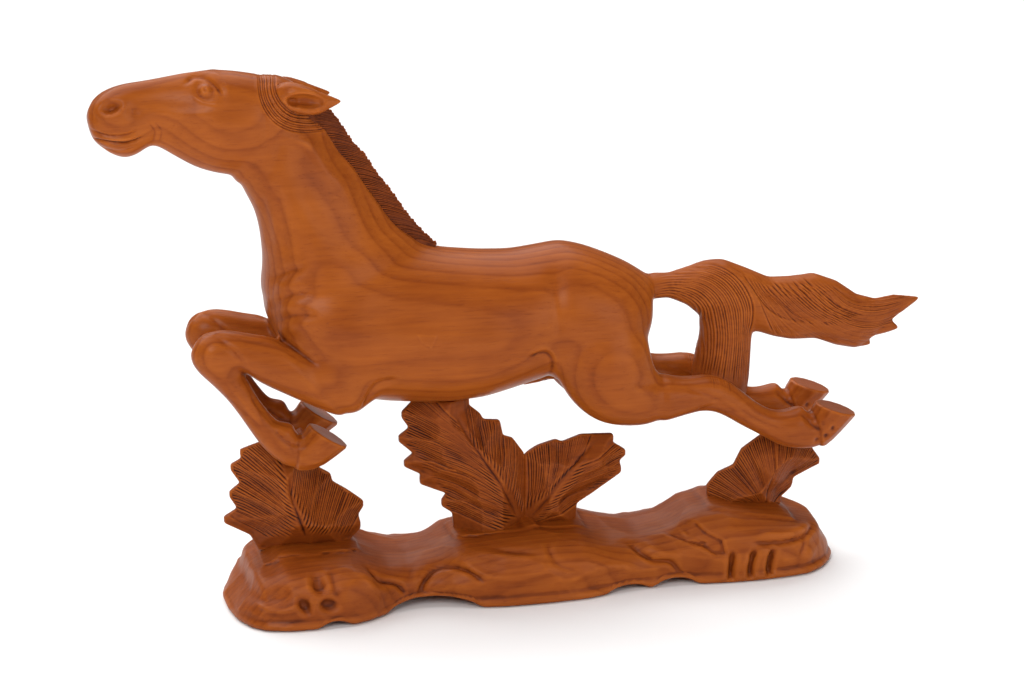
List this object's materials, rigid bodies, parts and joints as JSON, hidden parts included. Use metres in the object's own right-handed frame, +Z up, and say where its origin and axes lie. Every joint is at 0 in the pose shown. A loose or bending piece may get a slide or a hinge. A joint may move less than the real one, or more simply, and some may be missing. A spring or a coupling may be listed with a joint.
{
  "type": "carved wooden figurine",
  "caption": "Carved hardwood figurine of a horse in a flying gallop, carried on leafy fronds over a long rocky stand.",
  "frame": {"origin": "centre of the footprint box on the surface that the stand rests on", "axes": "+X from the nose towards the tail tip, +Y towards the horse's right side, +Z up"},
  "size_m": [0.5084, 0.1194, 0.327],
  "materials": {
    "coat_wood": "hand-rubbed satin varnish, sanded smooth",
    "mane_wood": "thin satin varnish over fine dark-stained grooves",
    "tail_wood": "thin satin varnish over fine combed grooves",
    "frond_wood": "thin varnish over tool-cut veins, browner than the coat",
    "stand_wood": "satin varnish over gouge facets"
  },
  "bodies": {
    "root": {"rock_base": "stand_wood", "front_frond": "frond_wood", "belly_frond": "frond_wood", "flank_frond": "frond_wood", "rear_frond": "frond_wood", "torso": "coat_wood", "neck": "coat_wood", "head": "coat_wood", "left_ear": "coat_wood", "right_ear": "coat_wood", "poll_hair": "coat_wood", "mane": "mane_wood", "left_foreleg": "coat_wood", "right_foreleg": "coat_wood", "left_hind_leg": "coat_wood", "right_hind_leg": "coat_wood", "left_fore_hoof": "coat_wood", "right_fore_hoof": "coat_wood", "left_hind_hoof": "coat_wood", "right_hind_hoof": "coat_wood", "sheath": "coat_wood", "tail_plume": "tail_wood", "tail_fall": "tail_wood"}
  },
  "joints": []
}
